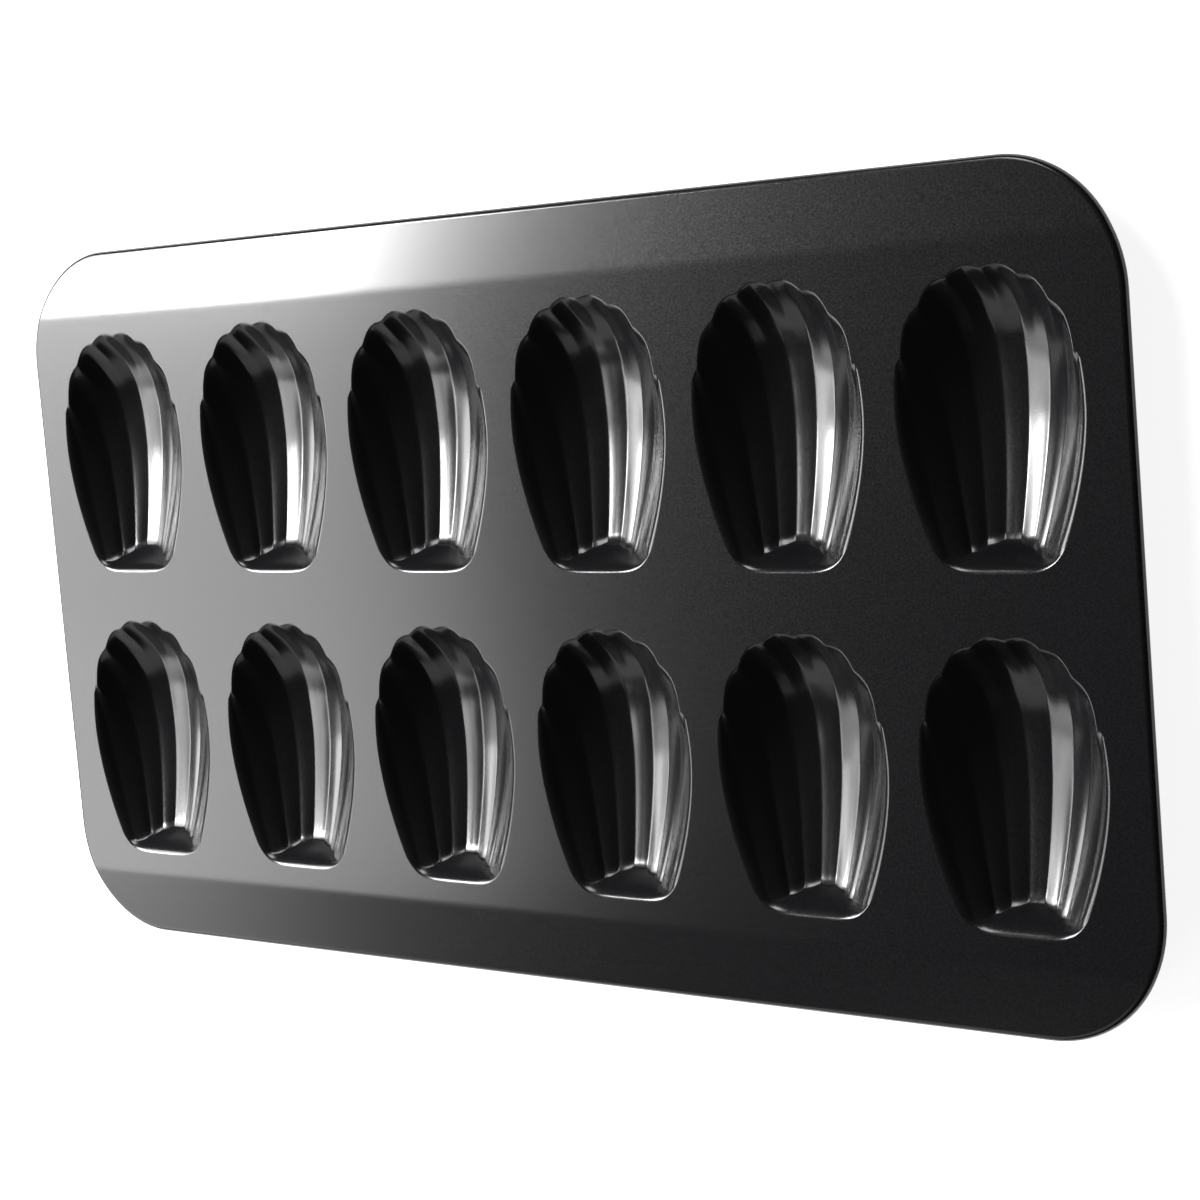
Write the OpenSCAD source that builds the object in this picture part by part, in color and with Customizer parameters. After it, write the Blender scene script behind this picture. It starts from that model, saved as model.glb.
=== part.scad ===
// Twelve-cup madeleine pan, pressed from one thin steel sheet with a rolled, wired edge.
// Millimetres. X runs along the pan, Y across it towards the round ends of the cups, Z up.
// The pan stands on the lowest flutes of its cups, at Z = 0, and its middle is at X = Y = 0.
// The sheet is divided along its press lines into solids that meet face to face.

/* [Pan] */
// Outer radius of the corners in plan
corner_radius = 34; // [24:1:44]
// Thickness of the steel sheet
sheet = 0.6; // [0.4:0.1:0.9]
// Width of each sloping flange, from its crease to the outer edge
flange_width = 19.3; // [12:0.1:21]
// Angle at which the flanges fall away from the deck, in degrees
flange_slope = 4; // [1:1:8]

/* [Rolled edge] */
// Outside diameter of the curl
curl_diameter = 3; // [2.6:0.2:5]
// Angle that the curl turns through, in degrees
curl_turn = 270; // [180:10:290]
// Clearance between the curl and the wire inside it
wire_clearance = 0.04; // [0.02:0.01:0.1]

/* [Layout of the cups] */
// Gap between neighbouring cups of a row
cup_gap = 9; // [4:0.1:20]
// Gap between the two rows, from round ends to straight ends
row_gap = 14.8; // [6:0.1:30]
// Distance from the last cup of a row to the end of the pan
end_margin = 11.9; // [8:0.05:30]
// Distance from the straight ends of the front row to the front crease
front_margin = 6.35; // [3:0.05:20]
// Distance from the round ends of the back row to the back crease
back_margin = 5.75; // [3:0.05:20]

/* [Cup] */
// Width of a cup where it meets the deck
cup_width = 54.2; // [46:0.1:60]
// Length of a cup, from its round end to its straight end
cup_length = 75.5; // [66:0.1:82]
// Depth of a cup below the deck
cup_depth = 13.2; // [9:0.1:18]
// Distance of the widest place from the middle of the cup, towards the round end
widest_at = 3; // [0:0.5:6]
// How much narrower the sides are at the straight end, on each side
side_taper = 10.7; // [8:0.1:14]
// How much shallower the bowl is at the straight end
floor_rise = 6.3; // [4:0.1:8]
// Slope of the end wall, in degrees
end_wall_slope = 47; // [40:1:65]
// Rounding of the two corners of the straight end
end_rounding = 4; // [2:0.5:6]
// Height of the ribs between the flutes along the middle of the floor. At the sides they are twice as high.
rib_height = 0.2; // [0.1:0.05:0.8]
// Height of the ribs where they meet the rim and notch it
notch_height = 1.3; // [0.6:0.1:2]
// Width of the rounded lip round each cup
lip_width = 1; // [0.5:0.1:1.2]

/* [Hidden] */
columns = 6;
rows = ["front", "back"];
function cup_name(row, column) = str("cup_", rows[row], "_", column + 1);

steel = "#29292b";
wire_steel = "#b4b6b8";

// Steps of the facets: columns per flute, rows down a cup, and facets of a corner and the curl
flute_steps = 4;
bowl_rows = 7;
corner_steps = 10;
curl_step = 45;
wire_sides = 8;

// Flutes on each side of the axis. The outermost, next to the side of the cup, has a rib on one side only.
side_flutes = 4;
last_rib = side_flutes - 1;

// The pan is as large as its cups, gaps, margins and flanges make it: 394 by 216.5 over the rolled edge
pan_length = columns * cup_width + (columns - 1) * cup_gap + 2 * end_margin;
pan_width = 2 * cup_length + row_gap + front_margin + back_margin + 2 * flange_width;
column_pitch = cup_width + cup_gap;
row_pitch = cup_length + row_gap;
row_shift = (front_margin - back_margin) / 2;

half_width = cup_width / 2;
half_length = cup_length / 2;
cap_length = half_length - widest_at;
tail_length = half_length + widest_at;

// Exponents of the bowl: its outline at the round end, and its section across (flat in the middle, rounder
// at the heel) and along
outline_power = 2.2;
across_power = 2.3;
heel_power = 1.5;
along_power = 3.5;
taper_power = 1.75;
rise_power = 1.5;
corner_power = 5;
corner_limit = 1.1;

// Half the width of the bowl at a distance below its widest place
function tail_half_width(below) = half_width - side_taper * pow(below / tail_length, taper_power);

// Depth of the smooth bowl below the deck at a place in the cup. Outside the cup it is negative.
function cap_depth(x, y) =
    let (r = pow(pow(x, outline_power) + pow(y, outline_power), 1 / outline_power),
         p = across_power + (along_power - across_power) * y * y / (x * x + y * y + 0.0001))
    cup_depth * (1 - pow(r, p));
function tail_depth(u, below) =
    let (along = below / tail_length, p = across_power + (heel_power - across_power) * along * along)
    (cup_depth - floor_rise * pow(along, rise_power)) * (1 - pow(u / tail_half_width(below), p));
function bowl_depth(p) =
    p.y > widest_at
        ? cap_depth(abs(p.x) / half_width, (p.y - widest_at) / cap_length)
        : tail_depth(abs(p.x), widest_at - p.y);

// The straight end: its lip in plan, and the depth of the sloping wall that closes it
end_half_width = half_width - side_taper;
corner_half_width = 1.05 * end_half_width;
function end_lip(u) =
    -half_length + end_rounding * pow(min(abs(u) / corner_half_width, corner_limit), corner_power);
function wall_depth(p) = tan(end_wall_slope) * (p.y - end_lip(p.x));

// Rib between two flutes: 1 on its crest and 0 in the middle of a flute. At the rim the flutes are round and
// the crests are sharp. Along the floor it is the ribs that are round, with a crease between them. The change
// from one to the other, and the fall of the ribs to their low floor height, are shares of a line's length.
// The last rib dies out on the side of the cup, which has a shallow half rib of its own.
side_rib_reach = 0.6;
rib_change = 0.25;
notch_fall = 0.35;
function across_flute(k) = abs(2 * (k - floor(k)) - 1);
function rim_rib(k) =
    k <= last_rib ? pow(across_flute(k), 2) : pow(max(0, 1 - (k - last_rib) / side_rib_reach), 2);
function floor_rib(k) =
    let (x = across_flute(k), round_rib = 2 * x - x * x)
    k <= last_rib + 0.5 ? round_rib : round_rib * (1 - x);
function rib(k, t) =
    let (w = min(1, t / rib_change), fall = pow(max(0, 1 - t / notch_fall), 2),
         floor_height = rib_height * (1 + k / last_rib))
    (floor_height + (notch_height - floor_height) * fall) * ((1 - w) * rim_rib(k) + w * floor_rib(k));
function fluted_depth(k, t, p) = bowl_depth(p) - rib(k, t);

// Plan of a flute line: it leaves the rim square to it, bends along the cup and runs to the straight end.
// Each place is spaced by a linear and a square term of the flute's number, counted from the axis:
// degrees round the rim, and shares of the cup's length or half width further down.
rim_spacing = [18.4, 1.2];
bend_spacing = [-0.078, 0];
first_bend = 0.35;
middle_spacing = [0.29, -0.01];
middle_at = 0.21;
heel_spacing = [0.231, -0.012];
line_overrun = 0.08;
function spaced(spacing, k) = spacing[0] * k + spacing[1] * k * k;
function rim_place(k, scale) =
    let (a = spaced(rim_spacing, k))
    [half_width * pow(sin(a), 2 / outline_power) * scale,
     widest_at + cap_length * pow(cos(a), 2 / outline_power) * scale];
function bend(k) =
    let (a = spaced(rim_spacing, k))
    rim_place(k, 1) - (first_bend + spaced(bend_spacing, k)) * cap_length * [sin(a), cos(a)];
function middle(k) = [spaced(middle_spacing, k) * half_width, -middle_at * half_length];
function heel(k) = [spaced(heel_spacing, k) * end_half_width, -(1 + line_overrun / 3) * half_length];
function flute_line(k, s) =
    pow(1 - s, 3) * rim_place(k, 1 + line_overrun) + 3 * s * pow(1 - s, 2) * bend(k)
    + 3 * s * s * (1 - s) * middle(k) + pow(s, 3) * heel(k);

// Where a measure along a line changes sign, found by halving
function halve(measure, low, high, turns = 24) =
    let (mid = (low + high) / 2)
    turns == 0 ? mid
               : measure(mid) > 0 ? halve(measure, low, mid, turns - 1)
                                  : halve(measure, mid, high, turns - 1);
function rim_step(k) = halve(function (s) fluted_depth(k, 0, flute_line(k, s)), 0, 0.3);
last_rim_step = rim_step(last_rib);

// Side lip of the cup, from just below the last notch to the corner of the straight end
side_start = 0.077 * half_length;
side_top = flute_line(last_rib, last_rim_step).y - side_start;
corner_v = halve(function (v) v - end_lip(tail_half_width(widest_at - v)), -half_length, -half_length / 2);
function side_half_width(v) =
    v > widest_at
        ? half_width * pow(1 - pow((v - widest_at) / cap_length, outline_power), 1 / outline_power)
        : tail_half_width(widest_at - v);
function side_lip(t) = let (v = side_top + (corner_v - side_top) * t) [side_half_width(v), v];

// Plan of a line from the rim (t = 0) to beyond the straight end, for any flute place k of 0 to 4
function line_place(k, t) =
    k <= last_rib
        ? let (s = rim_step(k)) flute_line(k, s + (1 - s) * t)
        : let (w = k - last_rib, s = last_rim_step)
          (1 - w) * flute_line(last_rib, s + (1 - s) * t) + w * side_lip(t);
side_foot = 0.96;
function foot_step(k) =
    k == side_flutes ? side_foot
    : halve(function (t) fluted_depth(k, t, line_place(k, t)) - wall_depth(line_place(k, t)), 0.5, 1);
function end_step(k) =
    k == side_flutes ? 1 : halve(function (t) -wall_depth(line_place(k, t)), 0.6, 1);

// Upward normals of the smooth bowl and of the end wall
slope_step = 0.05;
function unit(v) = v / norm(v);
function bowl_normal(p) =
    unit([(bowl_depth(p + [slope_step, 0]) - bowl_depth(p - [slope_step, 0])) / (2 * slope_step),
          (bowl_depth(p + [0, slope_step]) - bowl_depth(p - [0, slope_step])) / (2 * slope_step), 1]);
wall_normal = unit([0, tan(end_wall_slope), 1]);
up = [0, 0, 1];
function mitre(a, b) = (a + b) / (1 + a * b);

// Columns and rows of the cup's mesh. Each entry is [place, step towards the top face].
flute_places = [for (i = [-side_flutes * flute_steps : side_flutes * flute_steps]) i / flute_steps];
last_column = len(flute_places) - 1;
last_row = bowl_rows + 1;
row_power = 1.25;
rim_slope = atan(across_power * cup_depth / half_width);
lip_drop = lip_width * tan(rim_slope / 4);

function column_entries(k) =
    let (foot = foot_step(k), finish = end_step(k), side = k == side_flutes)
    [for (row = [0 : last_row])
        let (t = row <= bowl_rows ? foot * pow(row / bowl_rows, row_power) : finish,
             plan = line_place(k, t),
             p = row == last_row ? [plan.x, end_lip(plan.x)] : plan,
             edge = row == 0 || row == last_row || side,
             face = row == last_row ? wall_normal
                  : row == bowl_rows && !side ? mitre(bowl_normal(p), wall_normal)
                  : bowl_normal(p))
        edge ? [[p.x, p.y, -lip_drop], mitre(face, up)]
             : [[p.x, p.y, -fluted_depth(k, t, p)], face]];
half_entries = [for (i = [0 : side_flutes * flute_steps]) column_entries(i / flute_steps)];
function mirrored(entry) = [for (v = entry) [-v.x, v.y, v.z]];
function mesh_entry(column, row) =
    let (i = column - side_flutes * flute_steps, entry = half_entries[abs(i)][row])
    i < 0 ? mirrored(entry) : entry;
mesh = [for (column = [0 : last_column]) [for (row = [0 : last_row]) mesh_entry(column, row)]];

// Edge of the mesh, once round clockwise from the left end of the rim, and the lip outside it
edge_cells = concat(
    [for (column = [0 : last_column]) [column, 0]],
    [for (row = [1 : last_row]) [last_column, row]],
    [for (column = [last_column - 1 : -1 : 0]) [column, last_row]],
    [for (row = [last_row - 1 : -1 : 1]) [0, row]]
);
edge_count = len(edge_cells);
edge_points = [for (cell = edge_cells) let (p = mesh[cell.x][cell.y][0]) [p.x, p.y]];
cup_outline = [for (i = [0 : edge_count - 1])
    let (before = edge_points[(i + edge_count - 1) % edge_count],
         after = edge_points[(i + 1) % edge_count],
         along = unit(after - before))
    edge_points[i] + lip_width * [-along.y, along.x]];

mesh_size = (last_column + 1) * (last_row + 1);
function cell_index(column, row) = column * (last_row + 1) + row;
edge_index = [for (cell = edge_cells) cell_index(cell.x, cell.y)];
upper_points = [for (column = mesh, entry = column) entry[0]];
lower_points = [for (column = mesh, entry = column) entry[0] - sheet * entry[1]];

// The deck lies as high above the ground as the deepest flute needs
deck_top = max([for (p = lower_points) -p.z]);

function strip(a, b) = [for (i = [0 : len(a) - 1])
    let (j = (i + 1) % len(a)) each [[a[i], b[i], b[j]], [a[i], b[j], a[j]]]];
function flipped(faces) = [for (f = faces) [f[2], f[1], f[0]]];
function shifted(faces, by) = [for (f = faces) [for (i = f) i + by]];
grid_faces = [for (column = [0 : last_column - 1], row = [0 : last_row - 1])
    let (a = cell_index(column, row), b = cell_index(column + 1, row))
    each [[a, b, b + 1], [a, b + 1, a + 1]]];
rim_start = 2 * mesh_size;
upper_rim = [for (i = [0 : edge_count - 1]) rim_start + i];
lower_rim = [for (i = [0 : edge_count - 1]) rim_start + edge_count + i];
lower_edge = [for (i = edge_index) i + mesh_size];

module cup_shell() {
    polyhedron(
        points = concat(
            upper_points,
            lower_points,
            [for (p = cup_outline) [p.x, p.y, 0]],
            [for (p = cup_outline) [p.x, p.y, -sheet]]
        ),
        faces = concat(
            grid_faces,
            flipped(shifted(grid_faces, mesh_size)),
            strip(edge_index, upper_rim),
            strip(upper_rim, lower_rim),
            strip(lower_rim, lower_edge)
        )
    );
}

// Centres of the cups. Both rows sit a little towards the back.
function cup_place(row, column) =
    [(column - (columns - 1) / 2) * column_pitch, (row - 0.5) * row_pitch + row_shift];

module cup(row, column) {
    color(steel) translate(concat(cup_place(row, column), deck_top)) cup_shell();
}

// Plan of the line where the curl begins, clockwise from the left end of the back edge.
// Each entry is [place, outward direction]. The corners have a point on the crease of the flange.
curl_radius = curl_diameter / 2;
plate_x = pan_length / 2 - curl_radius;
plate_y = pan_width / 2 - curl_radius;
plate_corner = corner_radius - curl_radius;
crease_y = pan_width / 2 - flange_width;
crease_angle = asin((crease_y - (plate_y - plate_corner)) / plate_corner);
corner_angles = concat(
    [for (i = [0 : corner_steps]) 90 - (90 - crease_angle) * i / corner_steps],
    [crease_angle / 2, 0]
);
corner_entries = [for (a = corner_angles)
    [[plate_x - plate_corner + plate_corner * cos(a), plate_y - plate_corner + plate_corner * sin(a)],
     [cos(a), sin(a)]]];
function turned(entries, x, y) = [for (e = entries) [for (v = e) [v.x * x, v.y * y]]];
function backwards(list) = [for (i = [len(list) - 1 : -1 : 0]) list[i]];
path = concat(
    corner_entries,
    backwards(turned(corner_entries, 1, -1)),
    turned(corner_entries, -1, -1),
    backwards(turned(corner_entries, -1, 1))
);
plate_outline = [for (e = path) e[0]];

// Height of the sheet's top face: flat on the deck, falling on the flanges
function sheet_top(p) = deck_top - max(0, abs(p.y) - crease_y) * tan(flange_slope);

module deck_plan() {
    difference() {
        polygon(plate_outline);
        for (row = [0, 1], column = [0 : columns - 1])
            translate(cup_place(row, column)) polygon(cup_outline);
    }
}

module deck() {
    color(steel) translate([0, 0, deck_top - sheet]) linear_extrude(sheet)
        intersection() {
            deck_plan();
            square([pan_length, 2 * crease_y], center = true);
        }
}

// A flange on one side: +1 is the back, -1 the front
flange_stock = 2 * flange_width;
module flange(side) {
    color(steel) mirror([0, side < 0 ? 1 : 0, 0])
        intersection() {
            linear_extrude(deck_top + sheet) intersection() {
                polygon(plate_outline);
                translate([-pan_length / 2, crease_y]) square([pan_length, flange_width]);
            }
            translate([0, crease_y, deck_top]) rotate([-flange_slope, 0, 0])
                translate([-pan_length / 2, -flange_stock / 2, -sheet * cos(flange_slope)])
                    cube([pan_length, 2 * flange_stock, sheet * cos(flange_slope)]);
        }
}

module front_flange() { flange(-1); }
module back_flange() { flange(1); }

// A section carried round the path. Section points are [outwards, upwards] from the sheet's top face.
module swept(section) {
    n = len(section);
    count = len(path);
    polyhedron(
        points = [for (e = path, s = section)
            let (p = e[0] + s.x * e[1]) [p.x, p.y, sheet_top(e[0]) + s.y]],
        faces = [for (i = [0 : count - 1], j = [0 : n - 1])
            let (a = i * n, b = ((i + 1) % count) * n, k = (j + 1) % n)
            each [[a + j, b + j, b + k], [a + j, b + k, a + k]]]
    );
}

curl_angles = concat([for (a = [0 : curl_step : curl_turn - 1]) 90 - a], [90 - curl_turn]);
function curl_arc(radius) =
    [for (a = curl_angles) [radius * cos(a), radius * sin(a) - curl_radius]];
curl_section = concat(curl_arc(curl_radius), backwards(curl_arc(curl_radius - sheet)));

module rolled_rim() {
    color(steel) swept(backwards(curl_section));
}

wire_radius = (curl_radius - sheet) * cos(curl_step / 2) - wire_clearance;
module rim_wire() {
    color(wire_steel) swept([for (i = [0 : wire_sides - 1])
        let (a = i * 360 / wire_sides) [wire_radius * cos(a), wire_radius * sin(a) - curl_radius]]);
}

deck();
front_flange();
back_flange();
rolled_rim();
rim_wire();
for (row = [0, 1], column = [0 : columns - 1])
    cup(row, column);
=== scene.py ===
from math import cos, hypot, pi, radians, sin, tan

import bmesh
import bpy
from mathutils import Matrix, Vector


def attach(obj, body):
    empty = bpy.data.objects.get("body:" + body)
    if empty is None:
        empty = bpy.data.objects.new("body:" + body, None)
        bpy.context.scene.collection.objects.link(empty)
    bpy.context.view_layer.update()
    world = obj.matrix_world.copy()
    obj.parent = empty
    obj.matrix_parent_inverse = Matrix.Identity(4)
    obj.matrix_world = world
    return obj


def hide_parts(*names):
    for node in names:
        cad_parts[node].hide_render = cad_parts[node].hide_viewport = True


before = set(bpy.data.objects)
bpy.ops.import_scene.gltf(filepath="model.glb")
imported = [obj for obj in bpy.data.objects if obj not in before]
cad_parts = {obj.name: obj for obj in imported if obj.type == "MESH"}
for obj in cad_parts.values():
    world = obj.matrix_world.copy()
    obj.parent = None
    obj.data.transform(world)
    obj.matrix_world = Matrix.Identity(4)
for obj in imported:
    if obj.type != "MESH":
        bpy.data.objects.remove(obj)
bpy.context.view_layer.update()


# The twelve cups.
# Each is a shell-shaped hollow pressed into one thin steel sheet: eight flutes run from a scalloped round
# end to a narrow straight end, which a sloping D-shaped wall closes. All twelve come from one punch.

MM = 0.001
SHEET = 0.6
DECK_TOP = 13.678
CUP_WIDTH, CUP_LENGTH, CUP_DEPTH = 54.2, 75.5, 13.2
CUP_GAP, ROW_GAP = 9, 14.8
WIDEST_AT = 3
SIDE_TAPER = 10.7
FLOOR_RISE = 6.3
END_WALL_SLOPE = radians(47)
END_ROUNDING = 4
RIB_HEIGHT, NOTCH_HEIGHT = 0.2, 1.3
LIP = 1.6
FINE_DEPTH = CUP_DEPTH - 0.03  # the creases of this finer mesh go a little deeper than the solid's facets

HALF_WIDTH, HALF_LENGTH = CUP_WIDTH / 2, CUP_LENGTH / 2
CAP_LENGTH, TAIL_LENGTH = HALF_LENGTH - WIDEST_AT, HALF_LENGTH + WIDEST_AT

# Exponents of the bowl: its outline in plan, its taper, the rise of its floor, and its section across (flat
# in the middle, rounder at the heel) and along
OUTLINE_POWER, TAPER_POWER, RISE_POWER = 2.2, 1.75, 1.5
ACROSS_POWER, HEEL_POWER, ALONG_POWER = 2.3, 1.5, 3.5
NEARLY_NOTHING = 0.0001


def tail_half_width(below):
    """Half the width of the bowl at a distance below its widest place."""
    return HALF_WIDTH - SIDE_TAPER * (max(0, below) / TAIL_LENGTH) ** TAPER_POWER


def bowl_depth(u, v):
    """Depth of the smooth bowl at u across the cup and v along it, less than nothing outside the cup."""
    if v > WIDEST_AT:
        x, y = abs(u) / HALF_WIDTH, (v - WIDEST_AT) / CAP_LENGTH
        r = (x ** OUTLINE_POWER + y ** OUTLINE_POWER) ** (1 / OUTLINE_POWER)
        power = ACROSS_POWER + (ALONG_POWER - ACROSS_POWER) * y * y / (x * x + y * y + NEARLY_NOTHING)
        return CUP_DEPTH * (1 - r ** power)
    below = WIDEST_AT - v
    floor = CUP_DEPTH - FLOOR_RISE * (below / TAIL_LENGTH) ** RISE_POWER
    power = ACROSS_POWER - (ACROSS_POWER - HEEL_POWER) * (below / TAIL_LENGTH) ** 2
    return floor * (1 - (abs(u) / tail_half_width(below)) ** power)


END_HALF_WIDTH = HALF_WIDTH - SIDE_TAPER
CORNER_AT = 1.05 * END_HALF_WIDTH
CORNER_POWER, CORNER_LIMIT = 5, 1.1


def end_lip(u):
    """Where the lip of the straight end lies along the cup: it turns up into the sides at its corners."""
    return -HALF_LENGTH + END_ROUNDING * min(abs(u) / CORNER_AT, CORNER_LIMIT) ** CORNER_POWER


def wall_depth(u, v):
    """Depth of the sloping wall that closes the straight end."""
    return tan(END_WALL_SLOPE) * (v - end_lip(u))


# The flutes' lines are numbered from the cup's axis: ribs at 0 to 3, the side lip at 4. The last rib fades
# out within its flute. From the rim down, the notches fall away and the ribs change to their floor shape.
LAST_RIB = 3
SIDE_LIP = LAST_RIB + 1
RIM_CREST_ROUNDING, CREASE_ROUNDING = 0.1, 0.09
LAST_RIB_REACH = 0.6
NOTCH_FALL, RIB_CHANGE = 0.35, 0.25


def rib(k, t):
    """Height of the ribs at line number k and a share t of its length. At the rim the flutes are round and
    the crests between them sharp. Along the floor it is the ribs that are round, with a crease between
    them, and they are twice as high at the sides as in the middle."""
    x = abs(2 * (k - int(k)) - 1)
    if k > LAST_RIB:
        at_rim = max(0, 1 - (k - LAST_RIB) / LAST_RIB_REACH) ** 2
    else:
        at_rim = (1 - hypot(1 - x, RIM_CREST_ROUNDING) + RIM_CREST_ROUNDING) ** 2
    from_crease = hypot(x, CREASE_ROUNDING) - CREASE_ROUNDING
    from_crease /= hypot(1, CREASE_ROUNDING) - CREASE_ROUNDING
    on_floor = 2 * from_crease - from_crease ** 2
    if k > LAST_RIB + 0.5:
        on_floor *= 1 - x
    w = min(1, t / RIB_CHANGE)
    floor_height = RIB_HEIGHT * (1 + k / LAST_RIB)
    height = floor_height + (NOTCH_HEIGHT - floor_height) * max(0, 1 - t / NOTCH_FALL) ** 2
    return height * ((1 - w) * at_rim + w * on_floor)


def fluted_depth(k, t, place):
    return bowl_depth(place.x, place.y) - rib(k, t)


# How the lines fan out, each with a first pace and its change: in degrees round the rim, and in shares of
# the half width at the middle and at the heel. Then where they bend, and how far they overrun the cup.
RIM_PACE, MIDDLE_PACE, HEEL_PACE = (18.4, 1.2), (0.29, -0.01), (0.231, -0.012)
BEND_IN, BEND_CHANGE = 0.35, 0.078
MIDDLE_DOWN = 0.21
RIM_OVERRUN, HEEL_OVERRUN = 1.08, 1 + 0.08 / 3


def paced(k, pace):
    first, change = pace
    return first * k + change * k * k


def rim_place(k, scale):
    a = radians(paced(k, RIM_PACE))
    return Vector((HALF_WIDTH * sin(a) ** (2 / OUTLINE_POWER) * scale,
                   WIDEST_AT + CAP_LENGTH * cos(a) ** (2 / OUTLINE_POWER) * scale))


def flute_line(k, s):
    """A line in plan: it leaves the rim square to it, then bends along the cup to the straight end."""
    a = radians(paced(k, RIM_PACE))
    bend = rim_place(k, 1) - (BEND_IN - BEND_CHANGE * k) * CAP_LENGTH * Vector((sin(a), cos(a)))
    middle = Vector((paced(k, MIDDLE_PACE) * HALF_WIDTH, -MIDDLE_DOWN * HALF_LENGTH))
    heel = Vector((paced(k, HEEL_PACE) * END_HALF_WIDTH, -HEEL_OVERRUN * HALF_LENGTH))
    return ((1 - s) ** 3 * rim_place(k, RIM_OVERRUN) + 3 * s * (1 - s) ** 2 * bend
            + 3 * s * s * (1 - s) * middle + s ** 3 * heel)


HALVINGS = 26


def crossing(measure, low, high):
    """Finds where a measure rises through nothing, by halving the range."""
    for _ in range(HALVINGS):
        middle = (low + high) / 2
        low, high = (low, middle) if measure(middle) > 0 else (middle, high)
    return (low + high) / 2


def rim_step(k):
    return crossing(lambda s: fluted_depth(k, 0, flute_line(k, s)), 0, 0.3)


# The side lip runs from just below the last notch to the corner of the straight end
SIDE_DROP = 0.077
LAST_RIM_STEP = rim_step(LAST_RIB)
SIDE_TOP = flute_line(LAST_RIB, LAST_RIM_STEP).y - SIDE_DROP * HALF_LENGTH
CORNER = crossing(lambda v: v - end_lip(tail_half_width(WIDEST_AT - v)), -HALF_LENGTH, -HALF_LENGTH / 2)


def side_lip(t):
    v = SIDE_TOP + (CORNER - SIDE_TOP) * t
    if v > WIDEST_AT:
        u = HALF_WIDTH * (1 - ((v - WIDEST_AT) / CAP_LENGTH) ** OUTLINE_POWER) ** (1 / OUTLINE_POWER)
    else:
        u = tail_half_width(WIDEST_AT - v)
    return Vector((u, v))


def line_place(k, t):
    """The place at a share t of line k inside the cup. Past the last rib, lines blend into the side lip."""
    if k <= LAST_RIB:
        s = rim_step(k)
        return flute_line(k, s + (1 - s) * t)
    w = k - LAST_RIB
    return (1 - w) * flute_line(LAST_RIB, LAST_RIM_STEP + (1 - LAST_RIM_STEP) * t) + w * side_lip(t)


def rounded_lip(depth):
    """The deck rolls over into the cup: a slope that starts at nothing and grows to the wall's own."""
    return (hypot(max(0, depth), LIP) - LIP) * FINE_DEPTH / (hypot(CUP_DEPTH, LIP) - LIP)


def soft_least(a, b, reach):
    """The lesser of two depths, with the edge between them rounded."""
    h = max(0, reach - abs(a - b)) / reach
    return min(a, b) - h * h * reach / 4


# Columns across a cup, closer together at the crests, the creases and the side lip, and rows from the rim
# to the foot of the end wall and up that wall to its lip
FLUTE_SPACING = [0, 0.05, 0.12, 0.2, 0.29, 0.37, 0.43, 0.47, 0.5, 0.53, 0.57, 0.63, 0.71, 0.8, 0.88, 0.95]
SIDE_SPACING = [0, 0.06, 0.14, 0.23, 0.32, 0.4, 0.46, 0.5, 0.54, 0.6, 0.67, 0.74, 0.8, 0.86, 0.91, 0.95,
                0.975, 0.99, 1]
HALF_COLUMNS = [k + f for k in range(LAST_RIB) for f in FLUTE_SPACING]
HALF_COLUMNS += [LAST_RIB + f for f in SIDE_SPACING]
RIM_ROWS = [0, 0.0012, 0.0035, 0.007, 0.011, 0.016, 0.023]
BOWL_STEPS, BOWL_CROWDING = 34, 1.1
BOWL_ROWS = [RIM_ROWS[-1] + (1 - RIM_ROWS[-1]) * (i / BOWL_STEPS) ** BOWL_CROWDING
             for i in range(1, BOWL_STEPS + 1)]
FOOT_ROWS = [0.12, 0.3, 0.5, 0.68, 0.82, 0.91, 0.965, 0.99, 1]
ROWS = len(RIM_ROWS) + len(BOWL_ROWS) + len(FOOT_ROWS)
FOOT_ROUNDING = 0.3
SIDE_LIP_FOOT = 0.96


def cup_column(k):
    """Places down one line of a cup, from the rim to the edge of the straight end."""
    if k == SIDE_LIP:
        foot, finish = SIDE_LIP_FOOT, 1
    else:
        foot = crossing(lambda t: fluted_depth(k, t, line_place(k, t)) - wall_depth(*line_place(k, t)),
                        0.5, 1)
        finish = crossing(lambda t: -wall_depth(*line_place(k, t)), 0.6, 1)
    at_foot, at_end = line_place(k, foot), line_place(k, finish)
    at_end.y = end_lip(at_end.x)
    steps = [(foot * f, line_place(k, foot * f)) for f in RIM_ROWS + BOWL_ROWS]
    steps += [(foot, at_foot.lerp(at_end, f)) for f in FOOT_ROWS]
    column = []
    for row, (t, place) in enumerate(steps):
        depth = soft_least(fluted_depth(k, t, place), wall_depth(*place), FOOT_ROUNDING)
        on_edge = row in (0, ROWS - 1) or k == SIDE_LIP
        column.append(Vector((place.x, place.y, 0 if on_edge else -rounded_lip(depth))))
    return column


half_cup = [cup_column(k) for k in HALF_COLUMNS]
LAST = len(HALF_COLUMNS) - 1

# The cup's top face is a grid, each of whose points is moved to its place
cup_sheet = bmesh.new()
bmesh.ops.create_grid(cup_sheet, x_segments=2 * LAST, y_segments=ROWS - 1, size=1)
for vert in cup_sheet.verts:
    column = round(vert.co.x * LAST)
    row = round((1 - vert.co.y) / 2 * (ROWS - 1))
    place = half_cup[abs(column)][row]
    vert.co = MM * Vector((-place.x if column < 0 else place.x, place.y, place.z + DECK_TOP))


SHARP = radians(50)


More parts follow.
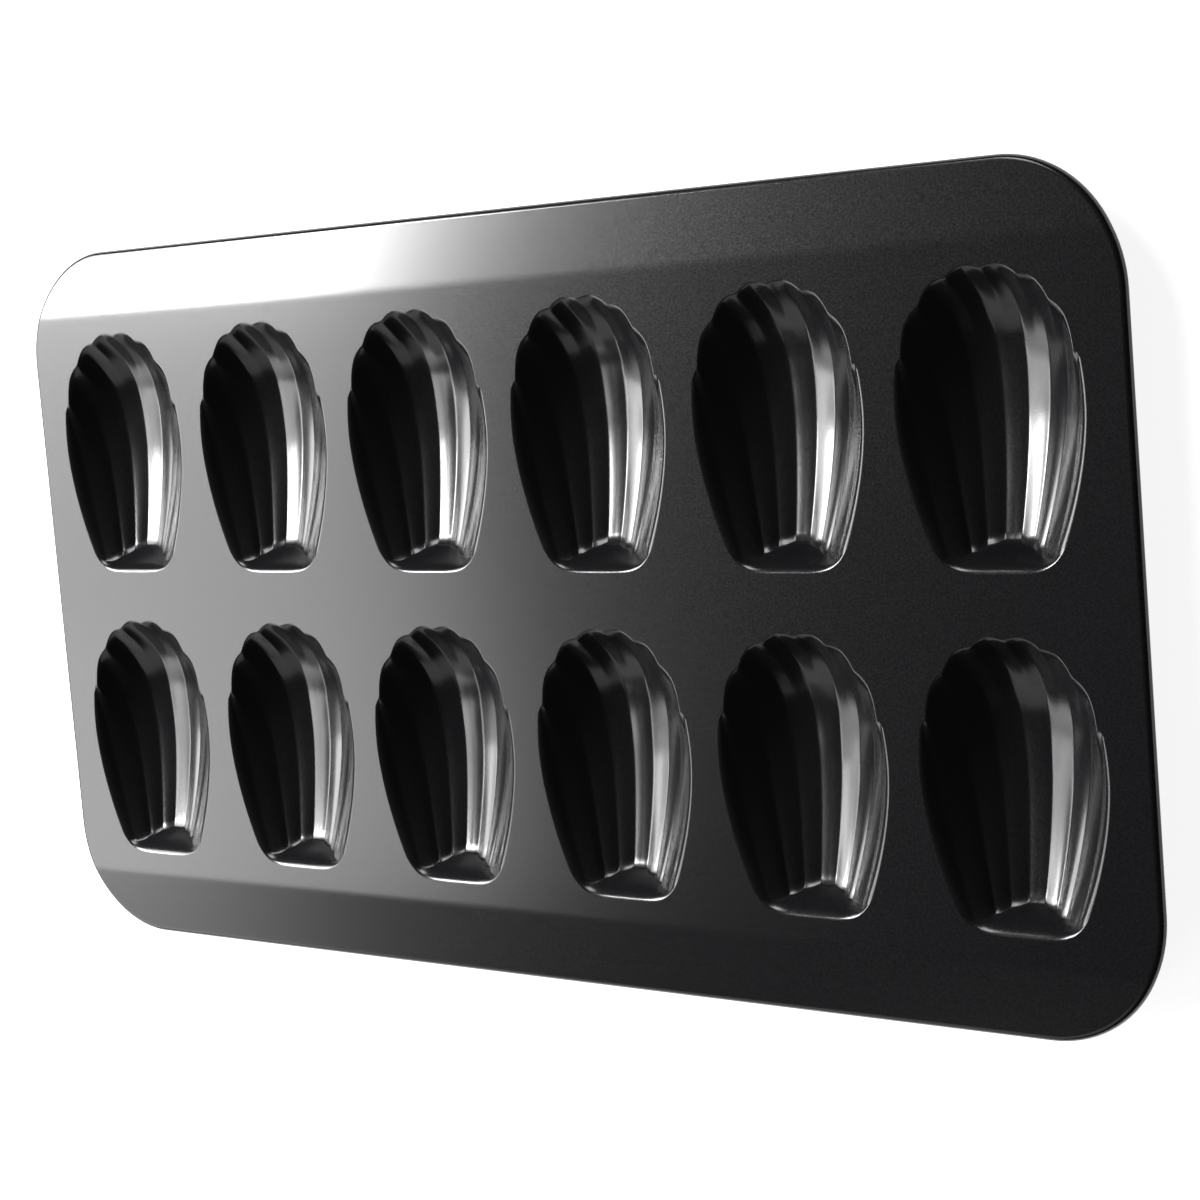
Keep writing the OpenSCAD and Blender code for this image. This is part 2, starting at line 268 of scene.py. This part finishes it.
def add_piece(bm, name):
    """Turns a closed mesh into an object, smooth but for its sharp edges."""
    bmesh.ops.recalc_face_normals(bm, faces=bm.faces[:])
    for face in bm.faces:
        face.smooth = True
    for edge in bm.edges:
        if edge.is_manifold and edge.calc_face_angle() > SHARP:
            edge.smooth = False
    mesh = bpy.data.meshes.new(name)
    bm.to_mesh(mesh)
    bm.free()
    piece = bpy.data.objects.new(name, mesh)
    bpy.context.scene.collection.objects.link(piece)
    return piece


def with_wall(sheet, name):
    """Gives a curved pressed sheet its thickness, square to its top face."""
    bm = sheet.copy()
    bm.normal_update()
    bmesh.ops.solidify(bm, geom=bm.faces[:], thickness=SHEET * MM)
    return add_piece(bm, name)


def linear(hex_colour):
    """A colour written as sRGB hex, as the linear values that a socket takes."""
    parts = [int(hex_colour[i:i + 2], 16) / 255 for i in (1, 3, 5)]
    return [p / 12.92 if p <= 0.04045 else ((p + 0.055) / 1.055) ** 2.4 for p in parts] + [1]


def add_node(tree, kind, links=(), **settings):
    """Adds a node. Settings name its properties, or its sockets where no property has that name."""
    made = tree.nodes.new(kind)
    for key, value in settings.items():
        if hasattr(made, key):
            setattr(made, key, value)
        else:
            made.inputs[key.replace("_", " ")].default_value = value
    for socket, source in links:
        tree.links.new(source, made.inputs[socket])
    return made


# Non-stick coating on steel: a sprayed, baked fluoropolymer with metal flake. To the eye it is charcoal
# with a satin sheen, and a fine grain of droplets that shows where light glances off it.
coating = bpy.data.materials.new("nonstick_coating_sprayed")
coating.use_nodes = True
tree = coating.node_tree
tree.nodes.clear()
position = add_node(tree, "ShaderNodeTexCoord").outputs["Object"]

# Grain and droplets are drawn coarser than they are, because nothing finer would show
GRAIN, DROPLET, RELIEF = 0.6, 0.7, 0.02
grain = add_node(tree, "ShaderNodeTexNoise", [("Vector", position)],
                 Scale=1 / (GRAIN * MM), Detail=3, Roughness=0.6)
droplets = add_node(tree, "ShaderNodeTexNoise", [("Vector", position)],
                    Scale=1 / (DROPLET * MM), Detail=2, Roughness=0.6)
tint = add_node(tree, "ShaderNodeValToRGB", [("Fac", grain.outputs["Fac"])])
tint.color_ramp.elements[0].position, tint.color_ramp.elements[0].color = 0.3, linear("#0c0c0e")
tint.color_ramp.elements[1].position, tint.color_ramp.elements[1].color = 0.7, linear("#141416")
gloss = add_node(tree, "ShaderNodeMapRange", [("Value", grain.outputs["Fac"])],
                 From_Min=0.3, From_Max=0.7, To_Min=0.165, To_Max=0.215)
relief = add_node(tree, "ShaderNodeBump", [("Height", droplets.outputs["Fac"])],
                  Strength=0.2, Distance=RELIEF * MM)
surface = add_node(tree, "ShaderNodeBsdfPrincipled",
                   [("Base Color", tint.outputs["Color"]), ("Roughness", gloss.outputs["Result"]),
                    ("Normal", relief.outputs["Normal"])], Specular_IOR_Level=0.4)
add_node(tree, "ShaderNodeOutputMaterial", [("Surface", surface.outputs["BSDF"])])

ROW_SHIFT = 0.3
CUP_COLUMNS = [(column - 2.5) * (CUP_WIDTH + CUP_GAP) for column in range(6)]
CUP_ROWS = [(row - 0.5) * (CUP_LENGTH + ROW_GAP) + ROW_SHIFT for row in range(2)]
for row_name, y in zip(("front", "back"), CUP_ROWS):
    for column, x in enumerate(CUP_COLUMNS):
        cup = with_wall(cup_sheet, "pressed_cup_%s_%d" % (row_name, column + 1))
        cup.data.transform(Matrix.Translation(MM * Vector((x, y, 0))))
        cup.data.materials.append(coating)
        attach(cup, "root")
        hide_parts("cup_%s_%d" % (row_name, column + 1))


# The rolled edge.
# All round the pan the sheet's own edge is curled over and under in a rolling die, so no raw edge is left
# to cut a hand. It is the same coated steel, and it follows the flanges down at their slope.

PAN_LENGTH, PAN_WIDTH = 394, 216.5
CORNER_RADIUS = 34
FLANGE_WIDTH = 19.3
FLANGE_SLOPE = radians(4)
CURL_DIAMETER = 3
CURL_RADIUS = CURL_DIAMETER / 2
PLATE_X, PLATE_Y = PAN_LENGTH / 2 - CURL_RADIUS, PAN_WIDTH / 2 - CURL_RADIUS
PLATE_CORNER = CORNER_RADIUS - CURL_RADIUS
CREASE = PAN_WIDTH / 2 - FLANGE_WIDTH
SOFT_BEND = 2.5
CORNER_STEPS = 24
MERGE = 0.001


def round_the_pan(section):
    """Carries a section round the pan: a quarter turn at each corner, and straight runs between them.
    The section's points are distances outwards from the plate's edge and up from the deck."""
    bm = bmesh.new()
    points = [bm.verts.new(MM * Vector((PLATE_X + out, PLATE_CORNER - PLATE_Y, DECK_TOP + rise)))
              for out, rise in section]
    line = [bm.edges.new(pair) for pair in zip(points, points[1:])]
    straight = [2 * (PLATE_Y - PLATE_CORNER), 2 * (PLATE_X - PLATE_CORNER)] * 2
    for side, length in enumerate(straight):
        a = side * pi / 2
        made = bmesh.ops.extrude_edge_only(bm, edges=line)["geom"]
        moved = [g for g in made if isinstance(g, bmesh.types.BMVert)]
        bmesh.ops.translate(bm, verts=moved, vec=MM * length * Vector((-sin(a), cos(a), 0)))
        line = [g for g in made if isinstance(g, bmesh.types.BMEdge)
                and all(v in moved for v in g.verts)]
        x = [1, -1, -1, 1][side] * (PLATE_X - PLATE_CORNER)
        y = [1, 1, -1, -1][side] * (PLATE_Y - PLATE_CORNER)
        made = bmesh.ops.spin(bm, geom=line, cent=MM * Vector((x, y, 0)), axis=(0, 0, 1), angle=pi / 2,
                              steps=CORNER_STEPS, use_merge=False)["geom_last"]
        line = [g for g in made if isinstance(g, bmesh.types.BMEdge)]
    bmesh.ops.remove_doubles(bm, verts=bm.verts[:], dist=MERGE * MM)
    return bm


BEND_CUTS = (-1.6, -1, -0.6, -0.2, 0.2, 0.6, 1, 1.6)
ON_CUT = 0.0001


def bent_at_the_creases(bm):
    """Cuts a mesh along both creases and lets what lies outside them fall away, with a soft bend."""
    for side in (-1, 1):
        for step in BEND_CUTS:
            bmesh.ops.bisect_plane(bm, geom=bm.verts[:] + bm.edges[:] + bm.faces[:], dist=ON_CUT * MM,
                                   plane_co=(0, side * (CREASE + step * SOFT_BEND / 2) * MM, 0),
                                   plane_no=(0, 1, 0))
    for vert in bm.verts:
        past = abs(vert.co.y) / MM - CREASE
        reach = SOFT_BEND / 2
        if past > reach:
            fall = past
        elif past > -reach:
            fall = (past + reach) ** 2 / (4 * reach)
        else:
            fall = 0
        vert.co.z -= MM * fall * tan(FLANGE_SLOPE)


# The curl starts on top, tangent to the flange, and turns outwards, down and in under itself
CURL_TURN, CURL_STEPS = 270, 20
turns = [radians(90 - CURL_TURN * i / CURL_STEPS) for i in range(CURL_STEPS + 1)]
rim_sheet = round_the_pan([(CURL_RADIUS * cos(a), CURL_RADIUS * sin(a) - CURL_RADIUS) for a in turns])
bmesh.ops.recalc_face_normals(rim_sheet, faces=rim_sheet.faces[:])
flat_rim = rim_sheet.copy()
bent_at_the_creases(rim_sheet)
rim = with_wall(rim_sheet, "rolled_edge")
rim.data.materials.append(coating)
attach(rim, "root")
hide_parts("rolled_rim")


# The deck and the two sloping flanges.
# The flat web between the cups and the long flanges are the part of the sheet that the press leaves plain.
# The flanges fall away from a shallow crease, and the coating is sprayed on after pressing.

deck_sheet = bmesh.new()
IN_PLANE = 0.0005


def outline_to_deck(sheet, x, y):
    """Copies to the deck the edge of a pressed sheet that lies in the deck's plane, moved to its place."""
    bm = sheet.copy()
    height = MM * DECK_TOP - IN_PLANE * MM
    inside = [e for e in bm.edges if not (e.is_boundary and all(v.co.z > height for v in e.verts))]
    bmesh.ops.delete(bm, geom=inside, context="EDGES")
    bmesh.ops.translate(bm, verts=bm.verts[:], vec=MM * Vector((x, y, 0)))
    outline = bpy.data.meshes.new("outline")
    bm.to_mesh(outline)
    bm.free()
    deck_sheet.from_mesh(outline)
    bpy.data.meshes.remove(outline)


outline_to_deck(flat_rim, 0, 0)
for x in CUP_COLUMNS:
    for y in CUP_ROWS:
        outline_to_deck(cup_sheet, x, y)

# The outlines are filled between them, bent with the rim, and given the sheet's thickness straight down
bmesh.ops.triangle_fill(deck_sheet, edges=deck_sheet.edges[:], use_beauty=True)
for face in deck_sheet.faces:
    face.normal_update()
    if face.normal.z < 0:
        face.normal_flip()
bent_at_the_creases(deck_sheet)
made = bmesh.ops.extrude_face_region(deck_sheet, geom=deck_sheet.faces[:])["geom"]
bmesh.ops.translate(deck_sheet, verts=[g for g in made if isinstance(g, bmesh.types.BMVert)],
                    vec=(0, 0, -SHEET * MM))
deck = add_piece(deck_sheet, "deck_and_flanges")
deck.data.materials.append(coating)
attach(deck, "root")
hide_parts("deck", "front_flange", "back_flange")


# The wire in the rolled edge.
# A round steel wire lies in the curl all the way round and keeps the thin sheet from twisting in the oven.
# It is bright drawn steel, and only a thin line of it shows from below.

WIRE_RADIUS, WIRE_SIDES = 0.79, 16
wire_turns = [radians(360 * i / WIRE_SIDES) for i in range(WIRE_SIDES + 1)]
wire_mesh = round_the_pan([(WIRE_RADIUS * cos(a), WIRE_RADIUS * sin(a) - CURL_RADIUS) for a in wire_turns])
bent_at_the_creases(wire_mesh)
wire = add_piece(wire_mesh, "edge_wire")

# Drawn steel wire: smooth and bright, with faint marks from the die.
steel = bpy.data.materials.new("steel_wire_drawn")
steel.use_nodes = True
tree = steel.node_tree
tree.nodes.clear()
position = add_node(tree, "ShaderNodeTexCoord").outputs["Object"]
DIE_MARK = 0.3
marks = add_node(tree, "ShaderNodeTexNoise", [("Vector", position)], Scale=1 / (DIE_MARK * MM), Detail=2)
tint = add_node(tree, "ShaderNodeValToRGB", [("Fac", marks.outputs["Fac"])])
tint.color_ramp.elements[0].color = linear("#9a9c9e")
tint.color_ramp.elements[1].color = linear("#b9bbbd")
gloss = add_node(tree, "ShaderNodeMapRange", [("Value", marks.outputs["Fac"])],
                 To_Min=0.25, To_Max=0.4)
surface = add_node(tree, "ShaderNodeBsdfPrincipled",
                   [("Base Color", tint.outputs["Color"]), ("Roughness", gloss.outputs["Result"])],
                   Metallic=1)
add_node(tree, "ShaderNodeOutputMaterial", [("Surface", surface.outputs["BSDF"])])
wire.data.materials.append(steel)
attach(wire, "root")
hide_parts("rim_wire")


# The floor.
# A plain white studio table that the pan stands on. It is white to the camera and keeps the pan's shadow.

FLOOR_REACH = 20  # metres each way, so that its edge never shows
PAPER_GLOW = 0.88

bm = bmesh.new()
bmesh.ops.create_grid(bm, x_segments=1, y_segments=1, size=FLOOR_REACH)
mesh = bpy.data.meshes.new("floor")
bm.to_mesh(mesh)
bm.free()
floor = bpy.data.objects.new("floor", mesh)
bpy.context.scene.collection.objects.link(floor)

# White studio paper, matt. Seen by the camera or mirrored in the pan it also glows, so that it comes out
# white whatever light falls on it, and only the pan's shadow is left.
paper = bpy.data.materials.new("studio_paper_white")
paper.use_nodes = True
tree = paper.node_tree
tree.nodes.clear()
light_path = add_node(tree, "ShaderNodeLightPath")
seen = add_node(tree, "ShaderNodeMath", [(0, light_path.outputs["Is Camera Ray"]),
                                         (1, light_path.outputs["Is Glossy Ray"])], operation="MAXIMUM")
seen = add_node(tree, "ShaderNodeMath", [(0, seen.outputs[0]),
                                         (1, light_path.outputs["Is Transmission Ray"])], operation="MAXIMUM")
glow_level = add_node(tree, "ShaderNodeMath", [(0, seen.outputs[0])], operation="MULTIPLY")
glow_level.inputs[1].default_value = PAPER_GLOW
matt = add_node(tree, "ShaderNodeBsdfDiffuse", Color=linear("#e8e8e8"))
glow = add_node(tree, "ShaderNodeEmission", [("Strength", glow_level.outputs[0])])
both = add_node(tree, "ShaderNodeAddShader", [(0, matt.outputs[0]), (1, glow.outputs[0])])
add_node(tree, "ShaderNodeOutputMaterial", [("Surface", both.outputs[0])])
floor.data.materials.append(paper)


# Light, world and camera.
# A soft window at the pan's left, with a sill below it and curtains that fade it towards the front. The
# sheet shines white there and falls to black at the right. A second window stands behind, in a dim room.


def soft_window(name, centre, width, height, watts):
    """A rectangular lamp that faces the pan. Its place and size are in metres."""
    data = bpy.data.lights.new(name, "AREA")
    data.shape = "RECTANGLE"
    data.size, data.size_y, data.energy = width, height, watts
    lamp = bpy.data.objects.new(name, data)
    bpy.context.scene.collection.objects.link(lamp)
    lamp.location = centre
    lamp.rotation_euler = (-Vector(centre)).to_track_quat("-Z", "Y").to_euler()


soft_window("window_left", (-1.328, 0.497, 1.113), 0.63, 0.34, 44)
soft_window("window_sill", (-1.565, 0.347, 0.817), 1.2, 0.33, 17)
soft_window("window_behind", (-0.539, 1.269, 1.157), 0.45, 0.5, 9)
soft_window("curtain_left", (-1.38, -0.145, 1.145), 0.7, 0.43, 7)
soft_window("curtain_front", (-1.5, -0.606, 0.789), 0.81, 0.64, 5.2)
soft_window("room_front_left", (-1.214, -1.093, 0.469), 1.57, 0.82, 4)
soft_window("room_in_front", (-0.583, -1.25, 1.157), 0.9, 0.7, 2)

world = bpy.data.worlds.new("dim_room")
bpy.context.scene.world = world
world.use_nodes = True
background = world.node_tree.nodes["Background"]
background.inputs["Color"].default_value = linear("#ffffff")
background.inputs["Strength"].default_value = 0.05

# The camera's lens, place and axes come from the fit to the photo's outline and cups
lens = bpy.data.cameras.new("camera")
lens.sensor_fit = "HORIZONTAL"
lens.sensor_width = 36
lens.lens = 84.53
camera = bpy.data.objects.new("camera", lens)
bpy.context.scene.collection.objects.link(camera)
right = Vector((0.76697, -0.08066, -0.6366))
up = Vector((-0.00792, 0.9908, -0.13507))
back = Vector((0.64163, 0.10863, 0.75927))
turn = Matrix((right, up, back)).transposed().to_4x4()
camera.matrix_world = Matrix.Translation((0.52164, 0.08352, 0.59389)) @ turn
bpy.context.scene.camera = camera
bpy.context.scene.view_settings.view_transform = "Standard"
